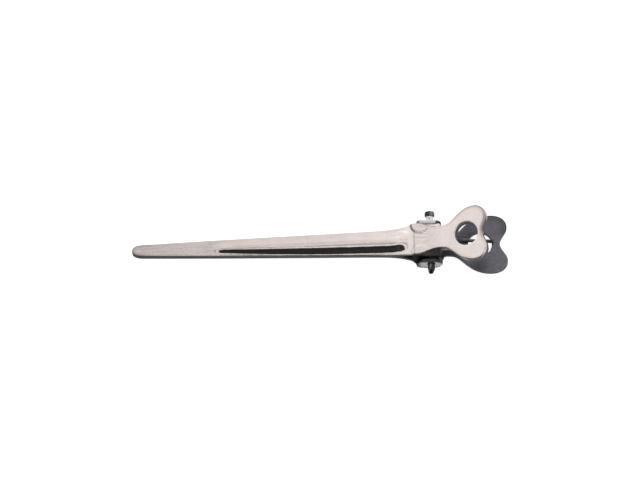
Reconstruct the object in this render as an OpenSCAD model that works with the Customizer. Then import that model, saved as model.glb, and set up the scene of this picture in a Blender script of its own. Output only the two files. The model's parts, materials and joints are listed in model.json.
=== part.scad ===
// Sectioning hair clip: two stamped sheet-steel jaws on a cross pin, closed by a torsion spring.
// X runs from the prong tips to the finger tabs, Y is the direction of the hinge axis, +Z is up.
// The origin is the centre of the footprint, on the surface that the clip lies on.

/* [Jaws] */
// Distance from the hinge axis to the prong tips
prong_reach = 79.5; // [65:0.5:100]
// Thickness of the sheet steel
sheet_t = 1.0; // [0.8:0.05:1.1]
// Height of each jaw's outer face from the plane where the prongs meet
body_h = 3.65; // [3.5:0.05:3.9]
// Air left between the closed prongs
prong_gap = 0.02; // [0.01:0.01:0.1]
// Width of a prong near its rounded tip
tip_w = 3.5; // [3:0.1:4]
// Width of a prong where it starts to flare into the body
root_w = 6.3; // [5.8:0.1:6.4]
// Steepness of the ramp where it meets the body, in degrees
ramp_angle = 35; // [31:1:36]

/* [Pressed rib] */
// Distance from a prong's tip to the point of its rib
rib_start = 21.7; // [15:0.1:30]
// Width of the rib at the body
rib_w = 5.4; // [4.4:0.1:5.6]
// Height of the rib above the prong's face
rib_h = 1.0; // [0.7:0.05:1.1]

/* [Upper jaw] */
// Width of the upper body between the outer faces of its ears
upper_body_w = 9.1; // [8.9:0.05:9.2]
// Width of the neck behind the upper body
upper_neck_w = 6.2; // [5.8:0.1:6.6]
// Width of the upper finger tab across its two lobes
upper_tab_w = 15.2; // [14.4:0.1:16]
// Distance from the hinge axis to the end of the upper finger tab
upper_tab_reach = 14.5; // [14:0.1:15]
// Slope of the upper finger tab, in degrees
upper_tab_slope = 20; // [15:1:24]
// Depth of the turned-down rim under the upper tab's sheet
rim_drop = 1.0; // [0.6:0.1:1.2]

/* [Lower jaw] */
// Width of the lower body between the outer faces of its ears
lower_body_w = 11.9; // [11.8:0.05:12.2]
// Width of the neck behind the lower body
lower_neck_w = 5.8; // [5:0.1:6]
// Width of the lower finger tab across its two lobes
lower_tab_w = 16.2; // [15.4:0.1:17]
// Distance from the hinge axis to the end of the lower finger tab
lower_tab_reach = 20.5; // [20:0.1:21]

/* [Finger holes] */
// Diameter of the round hole in each finger tab
finger_hole_d = 6.3; // [5.6:0.1:6.6]
// Distance from the hinge axis to the upper tab's hole
upper_hole_x = 9.5; // [9.3:0.1:9.7]
// Distance from the hinge axis to the lower tab's hole
lower_hole_x = 13.2; // [12.8:0.1:13.6]

/* [Hinge pin] */
// Diameter of the pin
pin_d = 1.9; // [1.7:0.05:2]
// Diameter of the pin's head
pin_head_d = 2.7; // [2.4:0.1:3]
// Length of the pin from the end of its head to its tail
pin_l = 17.2; // [16.6:0.1:18]
// Height of the pin's head
pin_head_h = 1.3; // [1:0.1:1.6]
// Radial play of the pin in the upper jaw's ears
pin_play = 0.05; // [0.02:0.01:0.09]

/* [Torsion spring] */
// Diameter of the spring wire
wire_d = 0.95; // [0.8:0.05:1]
// Number of full turns in the coil, before the half turn that leads to the upper arm
coil_turns = 4; // [3:1:4]
// Radial play of the coil around the pin
coil_play = 0.2; // [0.1:0.05:0.25]
// Distance from the hinge axis to the end of the upper arm
upper_arm_reach = 4.9; // [4.4:0.1:4.9]
// Distance from the hinge axis to the end of the lower arm
lower_arm_reach = 16.8; // [16:0.1:18]

/* [Hidden] */
$fn = 96;
// Points drawn for each stretch of an outline
steps = 10;
// Wider than the clip, for solids that are cut to shape
wide = 30;
// Depth that joined shapes run into each other
sink = 0.3;
// Where the raised body starts behind the ramp, and the bend radii of the sheet's middle
body_x = -4.3;
ramp_low_r = 12;
ramp_top_r = 0.8;
tab_bend_x = -3;
tab_bend_r = 17.5;
// Half width and height of the rib at its point
rib_tip_w = 0.1;
rib_tip_h = 0.04;
// Length of the rib's pointed end, and its half width and height behind that end
rib_point_l = 7;
rib_waist_w = 1.6;
rib_waist_h = 0.9;
// Where the rib runs out on the ramp, and what it gains in half width and height up to there
rib_end_x = -7.2;
rib_spread = 1.2;
rib_climb = 0.4;
// The rib's hollow is this much narrower on each side and this much shallower than the rib
hollow_in = 0.55;
hollow_low = 0.1;
// Wall of the collar round the upper tab's hole
collar_t = 0.9;
// Half widths used in the outlines
tip_y = tip_w / 2;
root_y = root_w / 2;
ear_upper_y = upper_body_w / 2;
ear_lower_y = lower_body_w / 2;
neck_upper_y = upper_neck_w / 2;
neck_lower_y = lower_neck_w / 2;
lobe_upper_y = upper_tab_w / 2;
lobe_lower_y = lower_tab_w / 2;
// The first curve of the upper outline that has a rim under it
rim_from = 5;
// Distance of a finger tab's notch from the tab's end
notch_upper = 1.1;
notch_lower = 2.0;
// Middle of the sheet in the prong, and how far the ramp lifts it
prong_mid = (prong_gap + sheet_t) / 2;
ramp_rise = body_h - sheet_t / 2 - prong_mid;
ramp_bends = ramp_low_r + ramp_top_r;
ramp_l = (ramp_rise - ramp_bends * (1 - cos(ramp_angle))) / sin(ramp_angle);
ramp_run = ramp_bends * sin(ramp_angle) + ramp_l * cos(ramp_angle);
// Reach of the ears past the hinge axis, and the middle radius of the coil
ear_drop = 1.7;
coil_r = pin_d / 2 + coil_play + wire_d / 2;
coil_pitch = wire_d + 0.02;
coil_half = coil_pitch * (coil_turns + 0.5) / 2;
// The coil sits this far to the side of the lower arm, clear of the upper neck's rim
coil_shift = 0.3;
// Rings in one turn of the wire, and sides of the wire
turn_rings = 18;
wire_sides = 10;
// Place of the hinge axis in the clip's own frame
hinge_x = (prong_reach - lower_tab_reach) / 2;
hinge_z = body_h;

// Point at share t of a curve with four control points
function curve(p, t) =
    pow(1 - t, 3) * p[0] + 3 * pow(1 - t, 2) * t * p[1] + 3 * (1 - t) * t * t * p[2] + pow(t, 3) * p[3];

// Points along one curve after another, without the last one's end
function trace(curves) = [for (c = curves, i = [0 : steps - 1]) curve(c, i / steps)];

// A straight stretch, written as a curve
function straight(a, b) = [a, a + (b - a) / 3, b - (b - a) / 3, b];

// A closed outline from the half of it above the X axis
function both_sides(half, end) =
    concat(half, [end], [for (i = [len(half) - 1 : -1 : 1]) [half[i][0], -half[i][1]]]);

// Rounded tip, straight taper and the start of the flare, as far as the shoulder
function prong_half(shoulder, flare) = [
    [
        [-prong_reach, 0],
        [-prong_reach, 1.1],
        [1.2 - prong_reach, tip_y - 0.15],
        [3 - prong_reach, tip_y - 0.1]
    ],
    straight([3 - prong_reach, tip_y - 0.1], [-25, root_y]),
    [[-25, root_y], [-16, root_y + 0.24], flare, shoulder]
];

upper_half = concat(
    prong_half([-4.9, ear_upper_y], [-9, root_y + 0.4]),
    [
        [[-4.9, ear_upper_y], [-4.3, ear_upper_y + 0.1], [-3.6, ear_upper_y + 0.1], [-3, ear_upper_y]],
        [[-3, ear_upper_y], [-1.4, 4.15], [0.2, neck_upper_y], [1.9, neck_upper_y]],
        [[1.9, neck_upper_y], [3.7, neck_upper_y], [4.7, 3.6], [5.7, 4.5]],
        [[5.7, 4.5], [7.2, 5.85], [8.8, lobe_upper_y], [11.4, lobe_upper_y]],
        [
            [11.4, lobe_upper_y],
            [13.2, lobe_upper_y],
            [upper_tab_reach, 6.2],
            [upper_tab_reach, 4.4]
        ],
        [
            [upper_tab_reach, 4.4],
            [upper_tab_reach, 2.6],
            [upper_tab_reach - notch_upper, 1.6],
            [upper_tab_reach - notch_upper, 0]
        ]
    ]
);

lower_half = concat(
    prong_half([-5.2, 3.9], [-9, root_y + 0.4]),
    [
        [[-5.2, 3.9], [-4, 4.2], [-3.3, ear_lower_y], [-1.4, ear_lower_y]],
        straight([-1.4, ear_lower_y], [1.2, ear_lower_y]),
        [[1.2, ear_lower_y], [3.2, ear_lower_y], [2.4, neck_lower_y], [4.4, neck_lower_y]],
        [[4.4, neck_lower_y], [6.1, neck_lower_y], [7, 3.2], [8.1, 4.35]],
        [[8.1, 4.35], [9.8, 6.15], [12.4, lobe_lower_y], [16, lobe_lower_y]],
        [
            [16, lobe_lower_y],
            [18.8, lobe_lower_y],
            [lower_tab_reach, 6.7],
            [lower_tab_reach, 4.7]
        ],
        [
            [lower_tab_reach, 4.7],
            [lower_tab_reach, 2.8],
            [lower_tab_reach - notch_lower, 1.7],
            [lower_tab_reach - notch_lower, 0]
        ]
    ]
);

// Points of an open line moved to its right by d, square to the line through each point's neighbours
function beside(p, d) = [
    for (i = [0 : len(p) - 1])
        let (a = p[max(i - 1, 0)], b = p[min(i + 1, len(p) - 1)], l = norm(b - a))
        p[i] + d * [b[1] - a[1], a[0] - b[0]] / l
];

function backwards(p) = [for (i = [len(p) - 1 : -1 : 0]) p[i]];

// Stations [x, z, slope] along a bend of the sheet's middle that turns from slope a to slope b
function bend(x, z, r, a, b) = [
    for (i = [0 : steps])
        let (s = a + (b - a) * i / steps, turn = sign(b - a))
        [x + turn * r * (sin(s) - sin(a)), z + turn * r * (cos(a) - cos(s)), s]
];

// Stations of a jaw seen from the side, from the tip to past the end of the tab
function side_line(tab_slope) =
    let (
        start = bend(body_x - ramp_run, prong_mid, ramp_low_r, 0, ramp_angle),
        low = start[steps] + ramp_l * [cos(ramp_angle), sin(ramp_angle), 0],
        top = bend(low[0], low[1], ramp_top_r, ramp_angle, 0),
        tab = tab_slope == 0 ? [] : bend(tab_bend_x, top[steps][1], tab_bend_r, 0, tab_slope),
        last = tab_slope == 0 ? top[steps] : tab[steps]
    )
    concat(
        [[-prong_reach - 1, prong_mid, 0]],
        start,
        top,
        tab,
        [last + wide * [cos(tab_slope), sin(tab_slope), 0]]
    );

// A band of the side view between two distances from the sheet's middle, drawn across the clip
module side_band(line, above, below) {
    outer = [for (s = line) [s[0] - above * sin(s[2]), s[1] + above * cos(s[2])]];
    inner = [for (s = backwards(line)) [s[0] + below * sin(s[2]), s[1] - below * cos(s[2])]];
    rotate([90, 0, 0]) linear_extrude(wide, center = true) polygon(concat(outer, inner));
}

// Where a jaw's half outline ends, on the X axis
function tab_end(half) = half[len(half) - 1][3];

module footprint(half) {
    translate([0, 0, -wide / 2]) linear_extrude(wide) polygon(both_sides(trace(half), tab_end(half)));
}

// A wall one sheet thick under the edge of a tab, along the outline's curves from the given one on
module rim_wall(half, first) {
    edge = trace([for (i = [first : len(half) - 1]) half[i]]);
    outer = concat(edge, [tab_end(half)], [for (p = backwards(edge)) [p[0], -p[1]]]);
    inner = backwards(beside(outer, sheet_t));
    translate([0, 0, -wide / 2]) linear_extrude(wide) polygon(concat(outer, inner));
}

// A stretch of a rib: a cone that stands w to each side and h high at its two ends
module rib_stretch(x0, w0, h0, x1, w1, h1, base) {
    r0 = (w0 * w0 + h0 * h0) / (2 * h0);
    r1 = (w1 * w1 + h1 * h1) / (2 * h1);
    fall = (r1 - h1) - (r0 - h0);
    translate([x0, 0, base + h0 - r0])
        rotate([0, 90 + atan(fall / (x1 - x0)), 0])
        cylinder(h = norm([x1 - x0, fall]), r1 = r0, r2 = r1);
}

// The whole rib, or with narrow and low its hollow on the sheet's other side
module rib(base, narrow, low) {
    start = rib_start - prong_reach;
    waist = start + rib_point_l;
    foot = body_x - ramp_run;
    mid_w = rib_waist_w - narrow;
    mid_h = rib_waist_h - low;
    full_w = rib_w / 2 - narrow;
    full_h = rib_h - low;
    end_x = rib_end_x - narrow;
    intersection() {
        union() {
            rib_stretch(start + narrow, rib_tip_w, rib_tip_h, waist, mid_w, mid_h, base);
            rib_stretch(waist, mid_w, mid_h, foot, full_w, full_h, base);
            rib_stretch(foot, full_w, full_h, end_x, full_w + rib_spread, full_h + rib_climb, base);
        }
        translate([-wide * 4, -wide / 2, base - sheet_t / 2]) cube([wide * 4, wide, wide]);
    }
}

// The sheet of a jaw with its ribbed prong, facing up
module jaw_sheet(half, tab_slope) {
    difference() {
        union() {
            intersection() {
                footprint(half);
                side_band(side_line(tab_slope), sheet_t / 2, sheet_t / 2);
            }
            rib(prong_gap / 2 + sheet_t, 0, 0);
        }
        rib(prong_gap / 2, hollow_in, hollow_low);
    }
}

// A pair of ears, each a plate of the given side view whose outer face is at y, bored for the pin
module ears(side_view, y, bore_r) {
    for (side = [0, 1])
        mirror([0, side, 0]) translate([0, y, 0]) difference() {
            rotate([90, 0, 0]) linear_extrude(sheet_t) polygon(trace(side_view));
            translate([0, sink, 0]) rotate([90, 0, 0]) cylinder(h = sheet_t + 2 * sink, r = bore_r);
        }
}

upper_ear = [
    straight([-0.6, body_h - sheet_t / 2], [-4.6, body_h - sheet_t / 2]),
    straight([-4.6, body_h - sheet_t / 2], [-4.6, 1.4]),
    [[-4.6, 1.4], [-4.5, -0.6], [-4.2, -ear_drop], [-3.2, -ear_drop]],
    straight([-3.2, -ear_drop], [0.2, -ear_drop]),
    [[0.2, -ear_drop], [1.6, -ear_drop], [2.2, -0.6], [2.1, 0.5]],
    [[2.1, 0.5], [2, 1.8], [1, 2.6], [-0.6, body_h - sheet_t / 2]]
];

lower_ear = [
    straight([2.2, body_h - sheet_t / 2], [-1.4, body_h - sheet_t / 2]),
    straight([-1.4, body_h - sheet_t / 2], [-3.3, 0.2]),
    [[-3.3, 0.2], [-3.7, -0.8], [-3.2, -ear_drop], [-2, -ear_drop]],
    straight([-2, -ear_drop], [0.6, -ear_drop]),
    [[0.6, -ear_drop], [2.2, -ear_drop], [3.05, -0.4], [3.05, 1.2]],
    [[3.05, 1.2], [3.05, 2.4], [2.9, 2.9], [2.2, body_h - sheet_t / 2]]
];

// A point on the upper tab's middle surface, above the given distance from the hinge axis
function upper_mid_z(x) =
    body_h - sheet_t / 2
    + tab_bend_r * (1 - cos(upper_tab_slope))
    + (x - tab_bend_x - tab_bend_r * sin(upper_tab_slope)) * tan(upper_tab_slope);

// A round bar or bore through the upper tab's hole, square to the tab
module at_upper_hole(r, above, below) {
    translate([upper_hole_x, 0, upper_mid_z(upper_hole_x)])
        rotate([0, -upper_tab_slope, 0])
        translate([0, 0, -below])
        cylinder(h = above + below, r = r);
}

// Moves a shape drawn about the hinge axis to its place in the clip's frame
module place() translate([hinge_x, 0, hinge_z]) children();

// Upper jaw: sheet, inner ears, turned-down rim along the neck and tab, and a collared hole
module upper_jaw() {
    color("gainsboro") place() difference() {
        union() {
            jaw_sheet(upper_half, upper_tab_slope);
            ears(upper_ear, ear_upper_y, pin_d / 2 + pin_play);
            intersection() {
                rim_wall(upper_half, rim_from);
                side_band(side_line(upper_tab_slope), 0, sheet_t / 2 + rim_drop);
            }
            at_upper_hole(finger_hole_d / 2 + collar_t, 0, sheet_t / 2 + rim_drop);
        }
        at_upper_hole(finger_hole_d / 2, sheet_t, sheet_t + rim_drop + sink);
    }
}

// Lower jaw: the same kind of stamping turned over, wider in the body, with a longer flat tab
module lower_jaw() {
    color("gray") place() mirror([0, 0, 1]) difference() {
        union() {
            jaw_sheet(lower_half, 0);
            ears(lower_ear, ear_lower_y, pin_d / 2);
        }
        translate([lower_hole_x, 0, 0]) cylinder(h = body_h + sink, r = finger_hole_d / 2);
    }
}

// Hinge pin: a plain shank with a flat head at one end and a tapered tail at the other
module hinge_pin() {
    tail_taper = 0.9;
    tail_r = 0.6;
    color("silver") place() rotate([-90, 0, 0]) translate([0, 0, -pin_l / 2]) {
        cylinder(h = tail_taper, r1 = tail_r, r2 = pin_d / 2);
        translate([0, 0, tail_taper]) cylinder(h = pin_l - tail_taper, d = pin_d);
        translate([0, 0, pin_l - pin_head_h]) cylinder(h = pin_head_h, d = pin_head_d);
    }
}

// Ring of points round a path's point p, square to the direction d
function ring(p, d) =
    let (u = cross(d, [0, 1, 0]) / norm(cross(d, [0, 1, 0])), v = cross(u, d) / norm(d))
    [
        for (k = [0 : wire_sides - 1])
            let (turn = 360 * k / wire_sides)
            p + wire_d / 2 * (cos(turn) * u + sin(turn) * v)
    ];

// A round bar swept along a path of points
module bar(path) {
    n = len(path);
    rings = [for (i = [0 : n - 1]) each ring(path[i], path[min(i + 1, n - 1)] - path[max(i - 1, 0)])];
    sides = [
        for (i = [0 : n - 2], k = [0 : wire_sides - 1])
            let (a = i * wire_sides + k, b = i * wire_sides + (k + 1) % wire_sides)
            [a, b, b + wire_sides, a + wire_sides]
    ];
    caps = [
        [for (k = [wire_sides - 1 : -1 : 0]) k],
        [for (k = [0 : wire_sides - 1]) (n - 1) * wire_sides + k]
    ];
    polyhedron(concat(rings), concat(sides, caps));
}

// Torsion spring: turns wound side by side round the pin, and one arm along each finger tab
module torsion_spring() {
    inner_z = body_h - sheet_t - wire_d / 2 - prong_gap / 2;
    upper_end_z = upper_mid_z(upper_arm_reach) - (sheet_t + wire_d + prong_gap) / 2 / cos(upper_tab_slope);
    rings = turn_rings * (coil_turns + 0.5);
    coil = [
        for (i = [0 : rings])
            let (a = 360 * i / turn_rings)
            [-coil_r * sin(a), coil_shift + coil_half - coil_pitch * i / turn_rings, -coil_r * cos(a)]
    ];
    lower_arm = [[lower_arm_reach, 0.55, -inner_z], [8, 1.2, -inner_z], [5, 1.5, -inner_z + 0.05]];
    upper_arm = [[1.2, -1.6, coil_r + 0.5], [upper_arm_reach, -1.3, upper_end_z]];
    color("dimgray") place() bar(concat(lower_arm, coil, upper_arm));
}

upper_jaw();
lower_jaw();
hinge_pin();
torsion_spring();
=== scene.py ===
import json
import math

import bmesh
import bpy
import numpy as np
from mathutils import Matrix, Vector


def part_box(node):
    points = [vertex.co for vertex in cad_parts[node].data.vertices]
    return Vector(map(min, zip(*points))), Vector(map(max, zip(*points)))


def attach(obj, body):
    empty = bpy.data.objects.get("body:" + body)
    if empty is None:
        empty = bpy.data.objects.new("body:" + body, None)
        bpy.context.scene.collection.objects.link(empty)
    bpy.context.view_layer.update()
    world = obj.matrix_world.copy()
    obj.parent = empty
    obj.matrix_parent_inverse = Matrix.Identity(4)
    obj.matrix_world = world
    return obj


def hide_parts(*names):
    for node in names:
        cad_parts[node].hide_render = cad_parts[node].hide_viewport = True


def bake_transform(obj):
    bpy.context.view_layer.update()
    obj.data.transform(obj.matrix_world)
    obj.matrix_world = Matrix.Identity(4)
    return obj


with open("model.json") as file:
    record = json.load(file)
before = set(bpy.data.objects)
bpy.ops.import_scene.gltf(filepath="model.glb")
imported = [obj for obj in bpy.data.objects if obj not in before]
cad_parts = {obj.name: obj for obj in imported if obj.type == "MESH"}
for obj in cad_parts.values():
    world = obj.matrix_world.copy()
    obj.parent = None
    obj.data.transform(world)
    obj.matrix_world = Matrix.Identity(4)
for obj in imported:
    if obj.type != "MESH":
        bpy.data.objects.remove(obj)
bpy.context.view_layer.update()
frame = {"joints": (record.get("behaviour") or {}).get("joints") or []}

# Shapes are drawn in millimetres about the hinge axis: X runs towards the finger tabs, Y along
# the pin towards its head, and Z up. The prongs meet in the plane z = 0.
MM = 0.001
HINGE = np.array(frame["joints"][0]["pos_m"])


def to_frame(points):
    """Drawn points in the frame's metres."""
    return np.asarray(points, float) * MM + HINGE


def drawn_box(node):
    """A CAD node's lowest and highest corner, in millimetres about the hinge axis."""
    return [(np.array(corner) - HINGE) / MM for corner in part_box(node)]


UPPER_LOW, UPPER_HIGH = drawn_box("upper_jaw")
LOWER_LOW, LOWER_HIGH = drawn_box("lower_jaw")
PIN_LOW, PIN_HIGH = drawn_box("hinge_pin")
SPRING_LOW, SPRING_HIGH = drawn_box("torsion_spring")

# Reach of the prongs, height of a jaw's outer face, sheet thickness and air between the prongs
REACH = -UPPER_LOW[0]
BODY_H = -LOWER_LOW[2]
SHEET = 1.0
GAP = 0.02
# The ramp up to the body, where it ends, and the radii of its two bends
RAMP = math.radians(35)
BODY_X = -4.3
RAMP_LOW_R = 12.0
RAMP_TOP_R = 0.8
# The upper tab's slope, and where and how tightly it bends up
TAB_SLOPE = math.radians(20)
TAB_BEND_X = -3.0
TAB_BEND_R = 17.5
# Half widths over the ears, their reach past the hinge axis, and the radii of the pin's holes
UPPER_EAR_Y = 4.55
LOWER_EAR_Y = 5.95
EAR_DROP = 1.7
UPPER_BORE_R = 1.0
LOWER_BORE_R = 1.12
# Finger holes, and the rounding at their top edge
HOLE_R = 3.15
HOLE_ROUND = 0.3
UPPER_HOLE_X = 9.5
LOWER_HOLE_X = 13.2
# Depth of the rim under the upper tab, from the outer face
RIM_DEPTH = 2.0
# Where each neck goes over into the tab
UPPER_NECK_X = 4.6
LOWER_NECK_X = 5.4


def smooth(t):
    """An S curve from 0 to 1."""
    t = np.clip(t, 0, 1)
    return t * t * (3 - 2 * t)


def band(distance, width):
    """A soft band: 1 in its middle, and almost nothing past twice its width."""
    return np.exp(-((distance / width) ** 2))


# ---------------------------------------------------------------- outlines and side lines


class Outline:
    """Half of a jaw's outline from above, from the middle of its tip to the middle of its tab's end."""

    def __init__(self, curves, dense=240):
        t = np.linspace(0, 1, dense, endpoint=False)[:, None]
        parts = []
        for a, b, c, d in (np.array(curve, float) for curve in curves):
            near_start = (1 - t) ** 3 * a + 3 * (1 - t) ** 2 * t * b
            parts.append(near_start + 3 * (1 - t) * t * t * c + t ** 3 * d)
        self.points = np.vstack(parts + [np.array(curves[-1][3], float)[None, :]])
        step = np.linalg.norm(np.diff(self.points, axis=0), axis=1)
        self.length = np.concatenate([[0], np.cumsum(step)])
        run = np.gradient(self.points, axis=0)
        run /= np.linalg.norm(run, axis=1)[:, None]
        self.normals = np.stack([-run[:, 1], run[:, 0]], axis=1)
        self.normals[0] = (-1, 0)
        self.normals[-1] = (1, 0)

    def at(self, lengths):
        """Points at these lengths along the outline."""
        return np.stack([np.interp(lengths, self.length, self.points[:, k]) for k in (0, 1)], axis=1)

    def normal(self, lengths):
        """Outward directions at these lengths along the outline."""
        found = np.stack([np.interp(lengths, self.length, self.normals[:, k]) for k in (0, 1)], axis=1)
        return found / np.linalg.norm(found, axis=1)[:, None]

    def where(self, places):
        """Lengths along the outline at which it first passes these places in x."""
        return self.length[[int(np.argmax(self.points[:, 0] >= x)) for x in places]]


def straight(a, b):
    """A straight stretch written as a curve."""
    a, b = np.array(a, float), np.array(b, float)
    return [a, a + (b - a) / 3, b - (b - a) / 3, b]


def prong_curves(shoulder):
    """The rounded tip and the long taper of a prong, as far as the shoulder of the body."""
    tip, root = 1.75, 3.15
    return [
        [(-REACH, 0), (-REACH, 1.1), (1.2 - REACH, tip - 0.15), (3 - REACH, tip - 0.1)],
        [(3 - REACH, tip - 0.1), (-59.3, 2.26), (-42.2, 2.7), (-25, root)],
        [(-25, root), (-16, root + 0.24), (-9, root + 0.4), shoulder],
    ]


def upper_outline():
    """The upper jaw: a narrow body, a neck and a heart-shaped tab."""
    end, lobe = UPPER_HIGH[0], UPPER_HIGH[1]
    notch = end - 1.1
    return Outline(
        prong_curves((-5.4, 4.25))
        + [
            [(-5.4, 4.25), (-4.9, 4.42), (-4.3, 4.6), (-3.2, 4.45)],
            [(-3.2, 4.45), (-1.6, 4.25), (-0.3, 3.1), (1.9, 3.1)],
            [(1.9, 3.1), (3.7, 3.1), (4.7, 3.6), (5.7, 4.5)],
            [(5.7, 4.5), (7.2, 5.85), (8.8, lobe), (11.4, lobe)],
            [(11.4, lobe), (13.2, lobe), (end, 6.2), (end, 4.4)],
            [(end, 4.4), (end, 2.6), (notch, 1.6), (notch, 0)],
        ]
    )


def lower_outline():
    """The lower jaw: a wider body, a slimmer neck and a longer heart-shaped tab."""
    end, lobe, ear = LOWER_HIGH[0], LOWER_HIGH[1], LOWER_EAR_Y
    notch = end - 2
    return Outline(
        prong_curves((-5.2, 3.9))
        + [
            [(-5.2, 3.9), (-4, 4.2), (-3.3, ear), (-1.4, ear)],
            straight((-1.4, ear), (1.2, ear)),
            [(1.2, ear), (3.2, ear), (2.4, 2.9), (4.4, 2.9)],
            [(4.4, 2.9), (6.1, 2.9), (7, 3.2), (8.1, 4.35)],
            [(8.1, 4.35), (9.8, 6.15), (12.4, lobe), (16, lobe)],
            [(16, lobe), (18.8, lobe), (end, 6.7), (end, 4.7)],
            [(end, 4.7), (end, 2.8), (notch, 1.7), (notch, 0)],
        ]
    )


class SideLine:
    """The middle of the sheet from the side: level prong, ramp, level body, and a tab that may slope."""

    def __init__(self, tab_slope, step=0.01):
        prong, body = (GAP + SHEET) / 2, BODY_H - SHEET / 2
        bends = (RAMP_LOW_R + RAMP_TOP_R) * (1 - math.cos(RAMP))
        climb = (body - prong - bends) / math.sin(RAMP)
        ramp_run = (RAMP_LOW_R + RAMP_TOP_R) * math.sin(RAMP) + climb * math.cos(RAMP)
        start_x = -REACH - 1
        past_end = 40
        # Length of each stretch, and the slope that it ends with
        stretches = [
            (BODY_X - ramp_run - start_x, 0),
            (RAMP_LOW_R * RAMP, RAMP),
            (climb, RAMP),
            (RAMP_TOP_R * RAMP, 0),
            (TAB_BEND_X - BODY_X, 0),
            (TAB_BEND_R * abs(tab_slope), tab_slope),
            (past_end, tab_slope),
        ]
        ends = np.concatenate([[0], np.cumsum([length for length, _ in stretches])])
        slopes = np.concatenate([[0], [slope for _, slope in stretches]])
        self.run = np.arange(0, ends[-1], step)
        self.slope = np.interp(self.run, ends, slopes)
        x = start_x + np.concatenate([[0], np.cumsum(step * np.cos(self.slope[:-1]))])
        z = prong + np.concatenate([[0], np.cumsum(step * np.sin(self.slope[:-1]))])
        self.face_x = x - SHEET / 2 * np.sin(self.slope)
        self.face_z = z + SHEET / 2 * np.cos(self.slope)

    def place(self, plan, depth, lean=1.0):
        """Points at a depth under the outer face: square to the sheet at a lean of 1, straight down at 0."""
        run = np.interp(plan[:, 0], self.face_x, self.run)
        x, z, slope = (np.interp(run, self.run, v) for v in (self.face_x, self.face_z, self.slope))
        over = plan[:, 0] - x
        turn = slope * lean
        points = [x + over + depth * np.sin(turn), plan[:, 1], z - depth * np.cos(turn)]
        return np.stack(points, axis=1)


# ---------------------------------------------------------------- pressed features

# The rib's half width along the jaw, where it starts and ends, and its widest half width
RIB_X = [-58, -57.4, -56, -50.7, -42.7, -34.7, -26.7, -13.4, -8, -6, -5]
RIB_HALF = [0.0, 1.1, 1.35, 1.68, 2.12, 2.44, 2.64, 2.76, 2.76, 2.6, 2.2]
RIB_START = -58
RIB_END = -8.0
RIB_WIDEST = 2.76
# The rib's hollow is this much narrower on each side, and has this share of the rib's height
HOLLOW_IN = 0.55
HOLLOW_H = 0.9
# The two pads over the ears: their middle, radius and height
PAD_X = -2.75
PAD_Y = 3.85
PAD_R = 2.35
PAD_H = 0.05


def rib_half_width(x):
    return np.interp(x, RIB_X, RIB_HALF)


def rib_height(plan, top=1.0, narrow=0.0):
    """Height of the pressed rib: a slightly crowned top, straight flanks and a sharp foot."""
    width = np.maximum(rib_half_width(plan[:, 0]) - narrow, 1e-4)
    crown, flank = 0.15, 0.65
    grid = np.linspace(0, 1, 200)
    slope = smooth((grid - crown) / (flank - crown))
    fall = np.concatenate([[0], np.cumsum((slope[1:] + slope[:-1]) / 2)])
    across = np.clip(np.abs(plan[:, 1]) / width, 0, 1)
    share = 1 - np.interp(across, grid, fall / fall[-1])
    # The rib rises behind its blunt start and dies away on the ramp
    along = smooth((plan[:, 0] - RIB_START) / 3.2) * (1 - smooth((plan[:, 0] - RIB_END) / 2.4))
    high = top * width / RIB_WIDEST * along
    return np.where(width > 0.01, share * high, 0)


def margin_fall(plan):
    """How far the flat margins beside the rib lean down towards the edge."""
    lean = np.interp(plan[:, 0], [-57, -52, -45, -16, -12], [0.0, 0.03, 0.085, 0.085, 0.0])
    return lean * np.maximum(np.abs(plan[:, 1]) - rib_half_width(plan[:, 0]), 0)


def pad_radius(plan):
    """Distance from the middle of the nearer pad, as a share of the pad's radius."""
    return np.hypot(plan[:, 0] - PAD_X, np.abs(plan[:, 1]) - PAD_Y) / PAD_R


def pad_height(plan):
    """Height of the low flat pads on the body over the ears."""
    return PAD_H * (1 - smooth((pad_radius(plan) - 0.8) / 0.2))


def inner_depth(plan):
    """Depth of the sheet's inner face, with the hollow of the rib."""
    return SHEET - rib_height(plan, HOLLOW_H, HOLLOW_IN)


def edge_fall(distance):
    """How far the outer face sinks close to its edge."""
    width, fall = 0.5, 0.05
    return fall * np.clip(1 - distance / width, 0, 1) ** 2


# ---------------------------------------------------------------- mesh helpers


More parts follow.
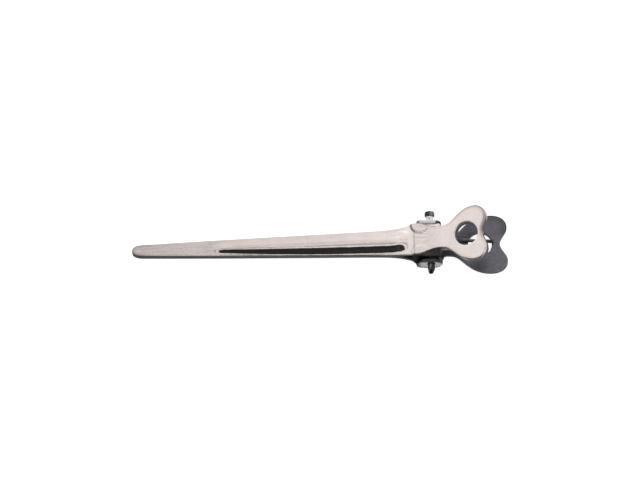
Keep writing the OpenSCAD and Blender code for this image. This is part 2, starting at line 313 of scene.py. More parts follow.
class Builder:
    """Collects vertices, faces and two vertex values: how far a point is inside, and how much painted shade
    it has.
    """

    def __init__(self):
        self.points, self.inner, self.painted_shade, self.faces = [], [], [], []

    def add(self, points, inner=0.0, painted_shade=0.0):
        """Adds points and returns their vertex numbers."""
        first = sum(len(part) for part in self.points)
        count = len(points)
        self.points.append(np.asarray(points, float))
        self.inner.append(np.broadcast_to(inner, count).astype(float))
        self.painted_shade.append(np.broadcast_to(painted_shade, count).astype(float))
        return np.arange(first, first + count)

    def quads(self, rows, closed=False):
        """Quads between neighbouring rows of vertex numbers."""
        for row, following in zip(rows[:-1], rows[1:]):
            count = len(row)
            for i in range(count if closed else count - 1):
                j = (i + 1) % count
                self.faces.append([row[i], row[j], following[j], following[i]])

    def caps(self, rows):
        """Flat ends on the first and the last of a stack of rings."""
        for row in (rows[0], rows[-1]):
            self.faces.append(list(row))

    def turn_over(self):
        """Mirrors everything in the plane where the prongs meet."""
        self.points = [points * (1, 1, -1) for points in self.points]

    def object(self, name):
        """The collected mesh as an object in the scene."""
        mesh = bpy.data.meshes.new(name)
        faces = [[int(vertex) for vertex in face] for face in self.faces]
        mesh.from_pydata(to_frame(np.vstack(self.points)).tolist(), [], faces)
        for label, values in (("inner", self.inner), ("painted_shade", self.painted_shade)):
            layer = mesh.attributes.new(label, "FLOAT", "POINT")
            layer.data.foreach_set("value", np.concatenate(values).astype(np.float32))
        bm = bmesh.new()
        bm.from_mesh(mesh)
        bmesh.ops.recalc_face_normals(bm, faces=bm.faces)
        bm.to_mesh(mesh)
        bm.free()
        mesh.polygons.foreach_set("use_smooth", [True] * len(mesh.polygons))
        obj = bpy.data.objects.new(name, mesh)
        bpy.context.scene.collection.objects.link(obj)
        return obj


def mirrored(half):
    """The whole loop from its far half: out along one side and back along the other."""
    back = half[1:-1][::-1].copy()
    back[:, 1] *= -1
    return np.vstack([half, back])


def both(values):
    """Values for the whole loop from the values on its far half."""
    return sided(values, values)


def sided(far, near):
    """Values for the whole loop from different values on its far and near halves."""
    return np.concatenate([far, near[1:-1][::-1]])


# ---------------------------------------------------------------- the two stampings

# Quads across a prong, length of its rounded tip, and rows in which the tip's curve straightens
ACROSS = 44
TIP_L = 3.0
NOSE_ROWS = 12
# Steps along half of a tab's outline, and rings between that outline and the hole
TAB_STEPS = 110
RINGS = 16
# Rounding at the lip of the ears and rims
LIP = 0.12
# From here on, a skirt row's first number is this mark plus the length along the tab's outline
TAB_MARK = 100

# What an edge is like along the prongs, the upper rim, its notch and the lower tab: how far down it
# reaches, how far in its inner side is, the rounding at its top, how much further in the inner face
# starts, and whether it is an ear, which hangs straight down
PRONG_EDGE = (SHEET, 0.45, 0.2, 0.15, 0)
RIM = (RIM_DEPTH, 0.5, 0.35, 0.35, 0)
NOTCH_RIM = (RIM_DEPTH, 0.3, 0.25, 0.1, 0)
FLAT = (SHEET, 0.4, 0.15, 0.15, 0)

# The ears from front to back: x, depth from the outer face, and whether the mesh needs close rows
FULL = BODY_H + EAR_DROP
UPPER_EAR = [
    (-4.72, SHEET + 0.1, 1),
    (-4.62, 2.6, 1),
    (-4.45, 3.95, 1),
    (-4.1, 4.95, 0),
    (-3.6, FULL - 0.05, 0),
    (-3.1, FULL, 0),
    (0.2, FULL, 0),
    (1.1, FULL - 0.3, 0),
    (1.7, FULL - 0.95, 0),
    (2.0, FULL - 1.8, 1),
    (2.12, FULL - 2.6, 1),
    (2.3, RIM_DEPTH + 0.1, 1),
]
LOWER_EAR = [
    (-3.72, SHEET + 0.1, 1),
    (-3.62, 4.0, 1),
    (-3.45, 4.85, 1),
    (-3.1, FULL - 0.15, 0),
    (-2.6, FULL, 0),
    (0.6, FULL, 0),
    (1.5, FULL - 0.2, 0),
    (2.2, FULL - 0.75, 0),
    (2.7, FULL - 1.5, 0),
    (2.95, FULL - 2.3, 1),
    (3.05, 2.4, 1),
    (3.15, SHEET + 0.1, 1),
]


def skirt_rows(ear, neck, tab):
    """The edge all along the outline: each row is x, or a place on the tab, and what the edge is like."""
    ear_edge = (SHEET, 0.35, 0.3, 1)
    rows = [(-REACH, *PRONG_EDGE), (ear[0][0] - 0.25, *PRONG_EDGE)]
    rows += [(x, depth, *ear_edge) for x, depth, _ in ear]
    rows += [(ear[-1][0] + 0.3, *neck), (TAB_MARK, *neck)]
    rows += [(TAB_MARK + length, *edge) for length, edge in tab]
    return np.array(rows, float)


def spaced_stations(neck_x, ear):
    """Places along a jaw where its mesh has a row: close at the rib's start, the ramp and the ears' edges."""
    tip_x = TIP_L - REACH
    least_gap = 0.035
    parts = [np.arange(tip_x, -62, 0.5), np.arange(-62, -50, 0.22), np.arange(-50, -9, 0.5)]
    parts.append(np.arange(-9, neck_x, 0.11))
    for x, _, close in ear:
        if close:
            parts.append(np.arange(x - 0.3, x + 0.3, 0.04))
    found = np.unique(np.round(np.concatenate(parts), 3))
    keep = [found[0]]
    for x in found[1:]:
        if x - keep[-1] > least_gap:
            keep.append(x)
    return np.array([x for x in keep if x < neck_x - 0.05] + [neck_x])


class Jaw:
    """One stamping. Its face, edge, rim, ears and hole follow from the outline and the side line."""

    def __init__(self, outline, side, neck_x, ear, ear_y, skirt, hole, pads):
        self.outline, self.side = outline, side
        self.ear_y, self.pads = ear_y, pads
        self.hole_x, self.hole_depth, self.hole_wall = hole
        stations = spaced_stations(neck_x, ear)
        self.tip_count, self.side_count = ACROSS // 2, len(stations)
        tab_from = self.tip_count + self.side_count
        tip_length = outline.where([TIP_L - REACH])[0]
        neck_length = outline.where([neck_x])[0]
        tip = tip_length * np.sin(np.linspace(0, math.pi / 2, self.tip_count + 1))
        tab = np.linspace(neck_length, outline.length[-1], TAB_STEPS + 1)[1:]
        lengths = np.concatenate([tip[:-1], outline.where(stations), tab])
        self.half = outline.at(lengths)
        self.half[0, 1] = self.half[-1, 1] = 0
        self.half[self.tip_count:tab_from, 0] = stations
        self.half_normals = outline.normal(lengths)
        place = self.half[:, 0].copy()
        place[tab_from:] = TAB_MARK + lengths[tab_from:] - neck_length
        columns = (np.interp(place, skirt[:, 0], skirt[:, k]) for k in range(1, 6))
        self.depth, self.wall, self.roll, self.spread, self.ear = columns
        # 1 where the edge is turned down and so has a hollow inside, 0 where it is just the sheet
        self.hollow = smooth((self.depth - SHEET - 0.05) / 0.6)

    def loop(self, inset, push=0.0):
        """The outline moved inwards, and then out sideways by push where there are ears."""
        plan = self.half - np.asarray(inset)[:, None] * self.half_normals
        plan[:, 1] += push
        plan[0, 1] = plan[-1, 1] = 0
        return mirrored(plan)

    def flare(self, depth):
        """How far the ears stand outside the outline at a depth."""
        full = np.maximum(self.ear_y - self.half[:, 1], 0) * self.ear
        return full * smooth((depth - self.roll) / (1.15 * full + 0.05))

    def distance(self, plan):
        """Distance of plan points from the outline."""
        edge = self.outline.points[::6]
        folded = np.stack([plan[:, 0], np.abs(plan[:, 1])], axis=1)
        best = np.full(len(plan), 1e9)
        for first in range(0, len(edge), 64):
            gap = folded[:, None, :] - edge[None, first:first + 64, :]
            best = np.minimum(best, np.sqrt((gap ** 2).sum(-1)).min(1))
        return best

    def outer_depth(self, plan):
        """Depth of the outer face under the plain sheet's face: negative where it is raised."""
        rise = rib_height(plan) - margin_fall(plan) - edge_fall(self.distance(plan))
        return -(rise + pad_height(plan)) if self.pads else -rise

    def hole_ring(self, angles, radius):
        """Plan points of a ring round the hole, which is square to the sloping tab."""
        slope = float(np.interp(self.hole_x, self.side.face_x, self.side.slope))
        middle = self.hole_x - SHEET / 2 * math.sin(slope)
        x = middle + radius * math.cos(slope) * np.cos(angles)
        return np.stack([x, radius * np.sin(angles)], axis=1)

    def face(self, build, loop, ring_r, depth, inner, painted_shade):
        """A whole face inside a loop: rows across the prong and body, then rings round the hole."""

        def spread_out(plan):
            return build.add(self.side.place(plan, depth(plan)), inner, painted_shade(plan))

        count = len(loop)
        far = np.arange(self.tip_count, self.tip_count + self.side_count)
        near = count - far
        nose = np.concatenate([count - np.arange(self.tip_count, 0, -1), np.arange(self.tip_count + 1)])
        nose_x = loop[nose, 0] - loop[nose[-1], 0]
        nose_y = loop[nose, 1] / loop[nose[-1], 1]
        across = np.linspace(-1, 1, ACROSS + 1)
        edge = spread_out(loop)
        rows = [edge[nose]]
        for k in range(1, self.side_count):
            x, half_width = loop[far[k]]
            share = 1 - smooth(k / NOSE_ROWS)
            y = half_width * (nose_y * share + across * (1 - share))
            row_plan = np.stack([x + nose_x * share, y], axis=1)[1:-1]
            rows.append(np.concatenate([[edge[near[k]]], spread_out(row_plan), [edge[far[k]]]]))
        build.quads(rows)

        tab = np.arange(far[-1], near[-1] + 1)
        outer_plan = np.vstack([loop[tab], row_plan])
        middle_x = self.hole_ring(np.zeros(1), 0.0)[0, 0]
        angles = np.arctan2(outer_plan[:, 1], outer_plan[:, 0] - middle_x)
        hole_plan = self.hole_ring(angles, ring_r)
        rings = [np.concatenate([edge[tab], rows[-1][1:-1]])]
        for share in np.arange(1, RINGS + 1) / RINGS:
            rings.append(spread_out(outer_plan * (1 - share) + hole_plan * share))
        build.quads(rings, closed=True)
        return edge, rings[-1], angles

    def add_skirt(self, build, top, under):
        """The edge: over the roll, down the outside, round the lip and up inside to the inner face."""
        lean = both(1 - self.ear)
        edge_drop = margin_fall(self.half) + edge_fall(0.0)
        top_loop = self.loop(self.roll)
        x = self.half[:, 0]
        none = np.zeros(len(x))
        by_ears = smooth((x + 5.1) / 0.5) * smooth((3.4 - x) / 1.2)
        # Painted shade darkens the near flank and lip. The lips and insides take the inner grey, but by the
        # far ear they keep the plate colour: a painted difference between the shaded near side and the lit
        # far side
        flank = sided(none, self.pads * by_ears)
        face_shade = self.painted_shade(top_loop)
        lip_shade = np.maximum(sided(none, 0.9 * by_ears), self.lobe_shade(top_loop))
        dull_and_shade = sided(1 - 0.9 * by_ears, none + 1)

        def ring(inset, push, depth, turn, inner, painted_shade=0.0):
            plan = self.loop(inset, push)
            return build.add(self.side.place(plan, both(depth), turn), inner, painted_shade)

        rows = [top]
        for angle in np.linspace(0, math.pi / 2, 6)[1:]:
            inset = self.roll * (1 - math.sin(angle))
            depth = self.roll * (1 - math.cos(angle)) + edge_drop
            roll_shade = np.maximum(flank * smooth(angle / 0.9), face_shade)
            rows.append(ring(inset, 0.0, depth, lean, 0.0, roll_shade))
        start = self.roll + edge_drop
        for share in np.linspace(0, 1, 16)[1:]:
            depth = start + (self.depth - LIP - start) * share
            rows.append(ring(none, self.flare(depth), depth, lean, 0.0, flank))
        full = self.flare(self.depth)
        for angle in np.linspace(0, math.pi / 2, 4)[1:]:
            depth = self.depth - LIP * (1 - math.sin(angle))
            inset = none + LIP * (1 - math.cos(angle))
            rows.append(ring(inset, full, depth, lean, 0.9 * dull_and_shade, lip_shade))
        for angle in np.linspace(0, math.pi / 2, 4):
            depth = self.depth - LIP * (1 - math.cos(angle)) * self.hollow
            inset = self.wall - LIP * (1 - math.sin(angle))
            rows.append(ring(inset, full, depth, lean, dull_and_shade, lip_shade))
        low = self.depth - LIP * self.hollow
        for share in np.linspace(0, 1, 12)[1:-1]:
            depth = low + (SHEET - low) * share
            bend = smooth((share - 0.6) / 0.4) * self.hollow + share * (1 - self.hollow)
            inset = self.wall + self.spread * bend
            rows.append(ring(inset, self.flare(depth), depth, lean * (1 - share) + share, dull_and_shade))
        rows.append(under)
        build.quads(rows, closed=True)

    def add_hole(self, build, top, under, angles):
        """The hole's rounded edge and wall, and the outside of the collar that the upper one has."""

        def ring(radius, depth, inner):
            return build.add(self.side.place(self.hole_ring(angles, radius), depth), inner)

        outside_r = HOLE_R + self.hole_wall
        rings = [top]
        for angle in np.linspace(0, math.pi / 2, 5)[1:]:
            radius = HOLE_R + HOLE_ROUND * (1 - math.sin(angle))
            rings.append(ring(radius, HOLE_ROUND * (1 - math.cos(angle)), 0.0))
        for depth in np.linspace(HOLE_ROUND, self.hole_depth - 0.1, 8)[1:]:
            rings.append(ring(HOLE_R, depth, 0.1))
        rings.append(ring(HOLE_R + 0.08, self.hole_depth, 1.0))
        rings.append(ring(outside_r - 0.05, self.hole_depth, 1.0))
        if self.hole_depth > SHEET + 0.3:
            for depth in np.linspace(self.hole_depth - 0.08, SHEET + 0.12, 5):
                rings.append(ring(outside_r, depth, 1.0))
        rings.append(under)
        build.quads(rings, closed=True)

    def mesh(self):
        """The whole stamping as one closed mesh."""
        build = Builder()
        top_loop = self.loop(self.roll)
        under_loop = self.loop(self.wall + self.spread)
        top_r = HOLE_R + HOLE_ROUND
        under_r = HOLE_R + self.hole_wall + 0.15
        top, hole_top, angles = self.face(build, top_loop, top_r, self.outer_depth, 0.0, self.painted_shade)
        under, hole_under, _ = self.face(build, under_loop, under_r, inner_depth, 1.0, self.lobe_shade)
        self.add_skirt(build, top, under)
        self.add_hole(build, hole_top, hole_under, angles)
        return build

    def painted_shade(self, plan):
        """Painted shade: darkening in the crease over the ramp, on the rib's crest, round the pads and along
        the edges.
        """
        x, y = plan[:, 0], plan[:, 1]
        crease = band(x - BODY_X + 0.1, 0.15) * smooth((2.0 - y) / 0.8) * (np.abs(y) < 4.3)
        crest = band(y + 0.44, 0.13) * smooth((x + 33) / 10) * smooth((RIB_END - x) / 1.2)
        # Painted shade in an arc round each pad, strongest at its front and stronger on the far pad
        arc = band(pad_radius(plan) - 1.0, 0.05 + 0.05 * smooth((-3.4 - x) / 1.5)) * self.pads
        far = 1.1 * smooth((-2.9 - x) / 2) + 0.3 * smooth((-1.2 - x) / 2.5)
        near = 0.3 * smooth((-3.9 - x) / 0.6)
        # Painted shade: a little along every edge, more on the far side of the body, round the tab and at the
        # tip
        strong = 0.12 + 0.15 * smooth((x + 6) / 3) * smooth(y / 2)
        strong += 0.6 * smooth((x - 4) / 4) * smooth((y + 5) / 6) + 0.5 * smooth((-73.5 - x) / 2)
        edge = strong * band(self.distance(plan), 0.55)
        return np.clip(0.42 * crease + 0.6 * crest + edge + np.where(y > 0, far, near) * arc, 0, 1)

    def lobe_shade(self, plan):
        """Painted shade along the far lobe's edge on the lower tab's inner face, which is the one that faces
        up.
        """
        far = smooth((plan[:, 1] - 1.5) / 2) * smooth((plan[:, 0] - 8) / 3) * (not self.pads)
        distance = self.distance(plan)
        return far * (0.5 * band(distance, 2.2) + 0.4 * band(distance, 0.7))


def upper_stamping():
    """The upper jaw: its tab slopes up and has a rim all round and a collar round its hole."""
    outline = upper_outline()
    tab_l = outline.length[-1] - outline.where([UPPER_NECK_X])[0]
    tab = [(tab_l - 4.5, RIM), (tab_l - 1.5, NOTCH_RIM), (tab_l, NOTCH_RIM)]
    skirt = skirt_rows(UPPER_EAR, RIM, tab)
    hole = (UPPER_HOLE_X, RIM_DEPTH, 0.35)
    side = SideLine(TAB_SLOPE)
    jaw = Jaw(outline, side, UPPER_NECK_X, UPPER_EAR, UPPER_EAR_Y, skirt, hole, pads=True)
    return jaw.mesh().object("upper_jaw_stamping")


def lower_stamping():
    """The lower jaw, which is drawn face up and then turned over: its tab is level and has no rim."""
    past_tab = 30
    skirt = skirt_rows(LOWER_EAR, FLAT, [(past_tab, FLAT)])
    hole = (LOWER_HOLE_X, SHEET, 0.3)
    side = SideLine(0.0)
    jaw = Jaw(lower_outline(), side, LOWER_NECK_X, LOWER_EAR, LOWER_EAR_Y, skirt, hole, pads=False)
    build = jaw.mesh()
    build.turn_over()
    return build.object("lower_jaw_stamping")


def bore_ears(jaw, radius):
    """Cuts the pin's holes through a jaw's ears."""
    past_ears = 14
    bpy.ops.mesh.primitive_cylinder_add(vertices=64, radius=radius * MM, depth=past_ears * MM)
    cutter = bpy.context.object
    cutter.data.transform(Matrix.Rotation(math.pi / 2, 4, "X"))
    cutter.location = Vector(HINGE)
    cut = jaw.modifiers.new("pin_holes", "BOOLEAN")
    cut.operation, cut.solver, cut.object = "DIFFERENCE", "EXACT", cutter
    bpy.context.view_layer.update()
    depsgraph = bpy.context.evaluated_depsgraph_get()
    jaw.data = bpy.data.meshes.new_from_object(jaw.evaluated_get(depsgraph))
    jaw.modifiers.clear()
    bpy.data.objects.remove(cutter)


upper_jaw = upper_stamping()
lower_jaw = lower_stamping()
bore_ears(upper_jaw, UPPER_BORE_R)
bore_ears(lower_jaw, LOWER_BORE_R)


# ---------------------------------------------------------------- pin


def turned(build, profile, bright, flute, sides=72):
    """A body of revolution about the Y axis from pairs of radius and y. flute is cut off the radius."""
    angles = np.linspace(0, 2 * math.pi, sides, endpoint=False)
    rows = []
    for radius, y in profile:
        around = radius - flute(angles, radius, y)
        points = [around * np.sin(angles), np.full(sides, y), around * np.cos(angles)]
        rows.append(build.add(np.stack(points, axis=1), bright(y)))
    build.quads(rows, closed=True)
    build.caps(rows)


def pin_object():
    """The cross pin: a fluted head at the far side, a plain shank and a tapered tail."""
    tail, head, head_r = PIN_LOW[1], PIN_HIGH[1], PIN_HIGH[0]
    shank, neck = 0.95, head - 1.3

    def flute(angles, radius, y):
        """Cut marks round the head and a slight lean of the tail's taper."""
        share = smooth((y - neck) / 0.2) * smooth((radius - shank) / 0.2)
        cuts = 0.14 * band((angles * 7 / math.pi) % 2 - 1, 0.35) * share
        lean = 0.12 * np.sin(angles) * smooth((tail + 1.1 - y) / 1.0)
        return cuts + lean

    def bright(y):
        """The far half of the shank is polished, the head and the tail are not."""
        return float(smooth(y / 2) * smooth((neck - y) / 0.15))

    profile = [(0.3, tail), (0.48, tail + 0.03), (0.58, tail + 0.12), (0.7, tail + 0.45)]
    profile += [(0.84, tail + 0.85), (shank, tail + 1.25), (shank, tail + 1.6)]
    profile += [(shank, y) for y in np.linspace(tail + 2.2, neck - 0.1, 14)]
    profile += [(shank + 0.03, neck - 0.03), (head_r - 0.12, neck)]
    profile += [(head_r - 0.03, neck + 0.04), (head_r, neck + 0.14)]
    profile += [(head_r, y) for y in np.linspace(neck + 0.25, head - 0.25, 6)]
    profile += [(head_r - 0.04, head - 0.1), (head_r - 0.16, head - 0.02), (head_r - 0.4, head)]
    profile.append((0.5, head))
    build = Builder()
    turned(build, profile, bright, flute)
    return build.object("hinge_pin_turned")


pin = pin_object()


# ---------------------------------------------------------------- spring


def rounded_path(corners, radius, step=0.12):
    """Points along straight runs with rounded corners."""
    corners = [np.array(corner, float) for corner in corners]
    points = [corners[0]]
    for a, b, c in zip(corners[:-2], corners[1:-1], corners[2:]):
        into, out = (b - a) / np.linalg.norm(b - a), (c - b) / np.linalg.norm(c - b)
        cut = min(radius, np.linalg.norm(b - a) / 2.2, np.linalg.norm(c - b) / 2.2)
        for t in np.linspace(0, 1, 9):
            points.append((1 - t) ** 2 * (b - into * cut) + 2 * t * (1 - t) * b + t * t * (b + out * cut))
    points.append(corners[-1])
    points = np.array(points)
    run = np.concatenate([[0], np.cumsum(np.linalg.norm(np.diff(points, axis=0), axis=1))])
    marks = np.append(np.arange(0, run[-1], step), run[-1])
    return np.stack([np.interp(marks, run, points[:, k]) for k in range(3)], axis=1)


def wire_object(path, radius, sides=16):
    """A round wire along a path, with rounded cut ends."""
    build = Builder()
    run = np.gradient(path, axis=0)
    run /= np.linalg.norm(run, axis=1)[:, None]
    across = np.cross(run, (0, 1, 0))
    across /= np.linalg.norm(across, axis=1)[:, None]
    up = np.cross(across, run)
    turns = np.linspace(0, 2 * math.pi, sides, endpoint=False)
    cos, sin = np.cos(turns)[:, None], np.sin(turns)[:, None]

    def ring(k, inset=0.0, shift=0.0):
        around = (radius - inset) * (cos * across[k] + sin * up[k])
        return build.add(path[k] + run[k] * shift + around)

    edge = 0.14
    rounding = [(edge * (1 - math.sin(a)), edge * (1 - math.cos(a))) for a in (0.35, 0.8, 1.2)]
    rows = [ring(0, inset, shift) for inset, shift in rounding]
    rows += [ring(k) for k in range(1, len(path) - 1)]
    rows += [ring(-1, inset, -shift) for inset, shift in rounding[::-1]]
    build.quads(rows, closed=True)
    build.caps(rows)
    return build.object("torsion_spring_wire")


def spring_object():
    """The torsion spring: an arm on the lower tab, the coil round the pin, and an arm to the upper tab."""
    wire_r, coil_r, turns = 0.475, 1.625, 4.5
    middle = (SPRING_HIGH[1] + SPRING_LOW[1]) / 2
    half = (SPRING_HIGH[1] - SPRING_LOW[1]) / 2 - wire_r
    around = np.linspace(0, 2 * math.pi * turns, int(turns * 40))
    y = middle + half - 2 * half * around / around[-1]
    coil = np.stack([-coil_r * np.sin(around), y, -coil_r * np.cos(around)], axis=1)
    # The lower arm lies on the lower jaw's sheet and climbs to the coil's start
    low_z = -(BODY_H - SHEET - wire_r - GAP / 2)
    lower_corners = [(SPRING_HIGH[0], 0.55, low_z), (8, 1.2, low_z), (4.6, 1.55, low_z + 0.05)]
    lower_corners.append((1.4, 2.25, -1.8))
    # The upper arm rises from the coil's end and then follows the upper tab's slope
    end_x, end_z, bend_x = 4.9, SPRING_HIGH[2] - wire_r, 1.9
    bend_z = end_z - (end_x - bend_x) * math.tan(TAB_SLOPE) - 0.25
    upper_corners = [(0.9, -1.68, 1.95), (bend_x, -1.55, bend_z), (end_x, -1.3, end_z)]
    lower_arm = rounded_path(lower_corners, 1.2)
    upper_arm = rounded_path(upper_corners, 0.8)
    return wire_object(np.vstack([lower_arm[:-1], coil[2:-2], upper_arm[1:]]), wire_r)


spring = spring_object()


# ---------------------------------------------------------------- materials

# Colour of the jaws' inner faces, and of the polished part of the pin
INNER_GREY = (0.19, 0.19, 0.215)
POLISHED = (0.85, 0.82, 0.8)


class Tree:
    """Short calls for making a node tree."""

    def __init__(self, tree):
        self.tree = tree

    def join(self, value, socket):
        """Links a node's output to a socket, or sets the socket to a plain value."""
        if isinstance(value, bpy.types.NodeSocket):
            self.tree.links.new(value, socket)
        else:
            socket.default_value = value

    def make(self, kind, inputs=(), **settings):
        node = self.tree.nodes.new(kind)
        for key, value in settings.items():
            setattr(node, key, value)
        for key, value in dict(inputs).items():
            self.join(value, node.inputs[key])
        return node

    def coordinates(self, kind):
        return self.make("ShaderNodeTexCoord").outputs[kind]

    def split(self, vector):
        return self.make("ShaderNodeSeparateXYZ", {"Vector": vector}).outputs

    def mapped(self, vector, **changes):
        """A vector turned and scaled by a Mapping node."""
        inputs = {"Vector": vector}
        inputs.update({key.capitalize(): value for key, value in changes.items()})
        return self.make("ShaderNodeMapping", inputs).outputs["Vector"]

    def attribute(self, name):
        return self.make("ShaderNodeAttribute", attribute_name=name).outputs["Fac"]

    def noise(self, place, scale, detail, roughness=0.55):
        inputs = {"Vector": place, "Scale": scale, "Detail": detail, "Roughness": roughness}
        return self.make("ShaderNodeTexNoise", inputs).outputs["Fac"]

    def span(self, value, low, high, to_low, to_high):
        """The range from low to high stretched to another range, and held past its ends."""
        inputs = {"Value": value, "From Min": low, "From Max": high, "To Min": to_low, "To Max": to_high}
        return self.make("ShaderNodeMapRange", inputs).outputs["Result"]

    def math(self, operation, first, second=0.0):
        return self.make("ShaderNodeMath", {0: first, 1: second}, operation=operation).outputs[0]

    def add(self, first, second, share=1.0):
        """The first value plus a share of the second."""
        return self.math("ADD", first, self.math("MULTIPLY", second, share))

    def mix(self, share, first, second):
        """Two colours mixed: all of the first at 0 and all of the second at 1."""
        node = self.make("ShaderNodeMix", {0: share, 6: first, 7: second}, data_type="RGBA")
        return node.outputs[2]


class Surface(Tree):
    """A new material with its Principled shader."""

    def __init__(self, name):
        self.material = bpy.data.materials.new(name)
        self.material.use_nodes = True
        super().__init__(self.material.node_tree)
        self.shader = self.tree.nodes["Principled BSDF"]

    def set(self, key, value):
        self.join(value, self.shader.inputs[key])

    def millimetres(self):
        """Places on the object in millimetres."""
        return self.mapped(self.coordinates("Object"), scale=(1000, 1000, 1000))

    def bump(self, height, strength):
        """Relief of at most a tenth of a millimetre."""
        node = self.make("ShaderNodeBump", {"Height": height, "Strength": strength, "Distance": 0.0001})
        self.set("Normal", node.outputs["Normal"])


def opaque(colour, share=1.0):
    """A colour, or a share of it, with its alpha."""
    return tuple(min(1.0, channel * share) for channel in colour) + (1,)


def plated_steel(name, outer, shade_colour, rough):
    """Nickel plate with long fine grain, faint scratches and stains, duller on faces marked as inner, with
    painted shade in a dark colour where the vertices mark it.
    """
    surface = Surface(name)
    mm = surface.millimetres()
    along = surface.mapped(mm, scale=(0.12, 1.6, 1.6))
    skew = surface.mapped(mm, rotation=(0, 0, 0.5), scale=(0.25, 3.0, 1.0))
    inside = surface.attribute("inner")
    painted_shade = surface.attribute("painted_shade")
    stains = surface.noise(mm, 0.22, 4)
    patches = surface.noise(mm, 1.3, 5, 0.6)
    grain = surface.noise(along, 4.0, 4, 0.6)
    streaks = surface.noise(along, 1.3, 3, 0.6)
    pits = surface.noise(mm, 7.0, 3, 0.6)
    scratches = surface.span(surface.noise(skew, 2.2, 6, 0.7), 0.60, 0.66, 0.0, 1.0)

    # The outer face is stained and patchy, and painted shade darkens it from the tabs towards the prongs'
    # tips
    stained = tuple(channel * share for channel, share in zip(outer, (0.88, 0.86, 0.87))) + (1,)
    face = surface.mix(surface.span(stains, 0.3, 0.7, 0.0, 1.0), stained, opaque(outer))
    face = surface.mix(surface.span(patches, 0.35, 0.75, 0.0, 0.35), face, opaque(outer, 1.06))
    tip_shade = surface.span(surface.split(mm)["X"], -50.0, 26.0, 0.74, 1.0)
    scaled = surface.make("ShaderNodeVectorMath", {0: face, "Scale": tip_shade}, operation="SCALE")
    face = scaled.outputs["Vector"]
    cloudy = surface.span(patches, 0.3, 0.7, 0.0, 1.0)
    hidden = surface.mix(cloudy, opaque(INNER_GREY, 0.72), opaque(INNER_GREY))
    # Painted shade: the dark colour is mixed in as the vertices mark it, broken up by the pits
    shade_share = surface.math("MULTIPLY", painted_shade, surface.span(pits, 0.3, 0.6, 0.65, 1.0))
    colour = surface.mix(shade_share, surface.mix(inside, face, hidden), opaque(shade_colour))
    surface.set("Base Color", colour)

    # Scratches, inner faces and places with painted shade are rougher than the plate
    satin = surface.span(grain, 0.3, 0.7, rough * 0.8, rough * 1.25)
    satin = surface.add(satin, scratches, 0.08)
    satin = surface.add(satin, inside, 0.12)
    satin = surface.add(satin, painted_shade, 0.2)
    surface.set("Roughness", satin)
    surface.set("Metallic", surface.span(inside, 0.0, 1.0, 1.0, 0.65))

    relief = surface.add(surface.math("MULTIPLY", grain, 0.6), pits, 0.35)
    relief = surface.add(relief, streaks, 1.6)
    relief = surface.add(relief, patches, 0.5)
    relief = surface.add(relief, scratches, -0.15)
    surface.bump(relief, 0.16)
    return surface.material


def bare_wire(name, colour, rough, stretch):
    """Drawn or turned steel: light and dark streaks along one direction, bright where it is polished."""
    surface = Surface(name)
    mm = surface.millimetres()
    marks = surface.mapped(mm, scale=stretch)
    lines = surface.noise(marks, 4.0, 4, 0.6)
    streaks = surface.span(surface.noise(marks, 1.3, 2, 0.5), 0.42, 0.56, 0.0, 1.0)
    blots = surface.span(surface.noise(mm, 1.7, 4, 0.6), 0.35, 0.65, 0.6, 1.0)
    drawn = surface.mix(surface.math("MULTIPLY", streaks, blots), opaque(colour, 0.16), opaque(colour))
    surface.set("Base Color", surface.mix(surface.attribute("inner"), drawn, opaque(POLISHED)))
    surface.set("Roughness", surface.span(lines, 0.3, 0.7, rough * 0.75, rough * 1.35))
    surface.set("Metallic", 1.0)
    surface.bump(lines, 0.25)
    return surface.material


# The third colour is the dark colour of the painted shade
BRIGHT = plated_steel("bright_nickel", (0.86, 0.775, 0.735), (0.045, 0.035, 0.035), 0.15)
DULL = plated_steel("dull_nickel", (0.80, 0.77, 0.83), (0.04, 0.035, 0.04), 0.17)
PIN_STEEL = bare_wire("pin_steel", (0.24, 0.23, 0.225), 0.16, (1.3, 0.15, 1.3))
WIRE_STEEL = bare_wire("spring_steel", (0.34, 0.34, 0.35), 0.14, (0.15, 1.3, 1.3))


def dress(piece, material, body, node):
    """Gives a piece its material and body, and hides the CAD node that it stands for. The spring has no body
    of its own.
    """
    piece.data.materials.clear()
    piece.data.materials.append(material)
    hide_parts(node)
    if body:
        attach(piece, body)


dress(upper_jaw, BRIGHT, "upper", "upper_jaw")
dress(lower_jaw, DULL, "lower", "lower_jaw")
dress(pin, PIN_STEEL, "lower", "hinge_pin")
dress(spring, WIRE_STEEL, None, "torsion_spring")
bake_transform(spring)


# ---------------------------------------------------------------- camera


def camera():
    """A long lens above the clip and a little to its front, rolled so that the prongs lie almost level."""
    azimuth, elevation, roll = (math.radians(degrees) for degrees in (2.9, 71.1, -4.57))
    back = Vector((
        math.sin(azimuth) * math.cos(elevation),
        -math.cos(azimuth) * math.cos(elevation),
        math.sin(elevation),
    ))
    distance = 0.9
    view_width = 170.2 * MM
    # The middle of the view lies this far from the hinge axis, towards the tips and up
    aim_left = 29.39 * MM
    aim_up = 0.745 * MM
    data = bpy.data.cameras.new("camera")
    data.sensor_width = 36
    data.lens = data.sensor_width * distance / view_width
    data.clip_start, data.clip_end = 0.01, 10
    obj = bpy.data.objects.new("camera", data)
    bpy.context.scene.collection.objects.link(obj)
    turn = (-back).to_track_quat("-Z", "Y").to_matrix() @ Matrix.Rotation(roll, 3, "Z")
    right, up = turn.col[0], turn.col[1]
    middle = Vector(HINGE) - right * aim_left + up * aim_up
    obj.matrix_world = Matrix.Translation(middle + back * distance) @ turn.to_4x4()
    bpy.context.scene.camera = obj


camera()


# ---------------------------------------------------------------- floor and light

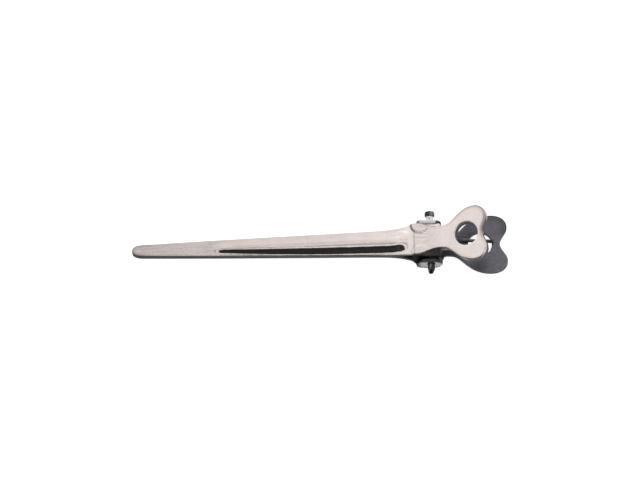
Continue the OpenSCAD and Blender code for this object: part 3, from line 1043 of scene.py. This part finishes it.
# Painted shadow and light on the paper, seen only in the clip's reflections: the paper glows this little
# where the clip would shade it, and glows brighter in painted patches in front of the ears, beside the neck
# and behind the body: low x, high x, low y, high y in millimetres from where the lower body rests, and how
# much brighter
SHADOW_GLOW = 0.06
GLOW_PATCHES = [
    (1.1, 7.8, -8.6, -6.2, 0.38),
    (6.8, 14.5, -7.4, -4.4, 0.35),
    (-30, 30, 5.6, 12.5, 0.6),
    (-1000, 1000, 12.5, 1000, 0.79),
]
# The sky's brightness by direction: degrees from straight up, negative towards the front
SKY = [
    (-180, 0.2), (-120, 0.22), (-98, 0.45), (-66, 0.28), (-57, 0.06), (-44, 0.02), (-24, 0.015),
    (-16, 0.06), (-10, 0.9), (-4, 1.15), (3, 1.1), (6.5, 0.55), (9, 0.16), (12, 0.16), (14.5, 0.7),
    (17, 0.95), (60, 0.98), (110, 0.9), (180, 0.3),
]


def glow_patch(surface, split, low_x, high_x, low_y, high_y, light):
    """A painted glowing rectangle with edges a millimetre soft."""
    patch = light
    for axis, low, high in (("X", low_x, high_x), ("Y", low_y, high_y)):
        middle, half = (low + high) / 2 * MM, (high - low) / 2 * MM
        off = surface.math("ABSOLUTE", surface.math("SUBTRACT", split[axis], middle))
        inside = surface.span(off, half - 0.5 * MM, half + 0.5 * MM, 1.0, 0.0)
        patch = surface.math("MULTIPLY", patch, inside)
    return patch


def paper():
    """White paper to the camera. To all else it is dark grey with a faint painted glow for its shadow, and
    the painted glowing patches listed above.
    """
    surface = Surface("floor_paper")
    seen = surface.make("ShaderNodeLightPath").outputs["Is Camera Ray"]
    split = surface.split(surface.coordinates("Object"))
    glow = SHADOW_GLOW
    for patch in GLOW_PATCHES:
        glow = surface.math("ADD", glow, glow_patch(surface, split, *patch))
    white_light = surface.math("MULTIPLY", seen, 0.92)
    unseen = surface.math("SUBTRACT", 1.0, seen)
    surface.set("Base Color", surface.mix(seen, (0.1, 0.1, 0.11, 1), (0.5, 0.5, 0.5, 1)))
    surface.set("Emission Strength", surface.add(white_light, unseen, glow))
    surface.set("Emission Color", (1, 1, 1, 1))
    surface.set("Roughness", 0.9)
    return surface.material


def floor():
    """A pale floor under the clip, which lies on the tips of its prongs and the front of its lower body."""
    rest_x, rest_z = BODY_X + 0.3, -BODY_H
    tip_z = -(SHEET + GAP / 2)
    slope = math.atan2(tip_z - rest_z, REACH + rest_x)
    clear = 0.02 * MM
    bpy.ops.mesh.primitive_grid_add(x_subdivisions=2, y_subdivisions=2, size=4.0)
    obj = bpy.context.object
    obj.name = "floor"
    place = Vector(to_frame((rest_x, 0, rest_z))) - Vector((0, 0, clear))
    obj.matrix_world = Matrix.Translation(place) @ Matrix.Rotation(slope, 4, "Y")
    obj.data.materials.append(paper())


def sky():
    """Soft light all round, with a dark strip at the front and a narrow one just behind straight up."""
    world = bpy.data.worlds.new("studio")
    bpy.context.scene.world = world
    world.use_nodes = True
    tree = Tree(world.node_tree)
    tree.tree.nodes.clear()
    split = tree.split(tree.coordinates("Generated"))
    angle = tree.math("ARCTAN2", split["Y"], split["Z"])
    ramp = tree.make("ShaderNodeValToRGB", {"Fac": tree.span(angle, -math.pi, math.pi, 0.0, 1.0)})
    elements = ramp.color_ramp.elements
    while len(elements) < len(SKY):
        elements.new(0.5)
    for element, (degrees, bright) in zip(elements, SKY):
        # The dark parts are a little bluer
        cool = 0.12 if bright < 0.4 else 0.0
        element.position = (degrees + 180) / 360
        element.color = (bright, bright * (1 + cool / 2), bright * (1 + cool), 1)
    # The strips reach this far to the left and right, with even light past their ends
    left_end = tree.span(split["X"], -0.92, -0.8, 0.0, 1.0)
    right_end = tree.span(split["X"], 0.35, 0.55, 1.0, 0.0)
    reach = tree.math("MULTIPLY", left_end, right_end)
    colour = tree.mix(reach, (0.95, 0.95, 0.95, 1), ramp.outputs["Color"])
    light = tree.make("ShaderNodeBackground", {"Color": colour}).outputs[0]
    white = tree.make("ShaderNodeBackground", {"Color": (1, 1, 1, 1)}).outputs[0]
    seen = tree.make("ShaderNodeLightPath").outputs["Is Camera Ray"]
    shown = tree.make("ShaderNodeMixShader", {0: seen, 1: light, 2: white}).outputs[0]
    tree.make("ShaderNodeOutputWorld", {"Surface": shown})


def soft_key():
    """A broad lamp at the back left, aimed at the hinge."""
    place = Vector((-0.9, 0.9, 0.5))
    data = bpy.data.lights.new("soft_key", "AREA")
    data.shape, data.size, data.energy = "DISK", 0.9, 0.5
    obj = bpy.data.objects.new("soft_key", data)
    bpy.context.scene.collection.objects.link(obj)
    obj.location = place
    obj.rotation_euler = (Vector(HINGE) - place).to_track_quat("-Z", "Y").to_euler()


floor()
sky()
soft_key()
bpy.context.scene.view_settings.view_transform = "Standard"
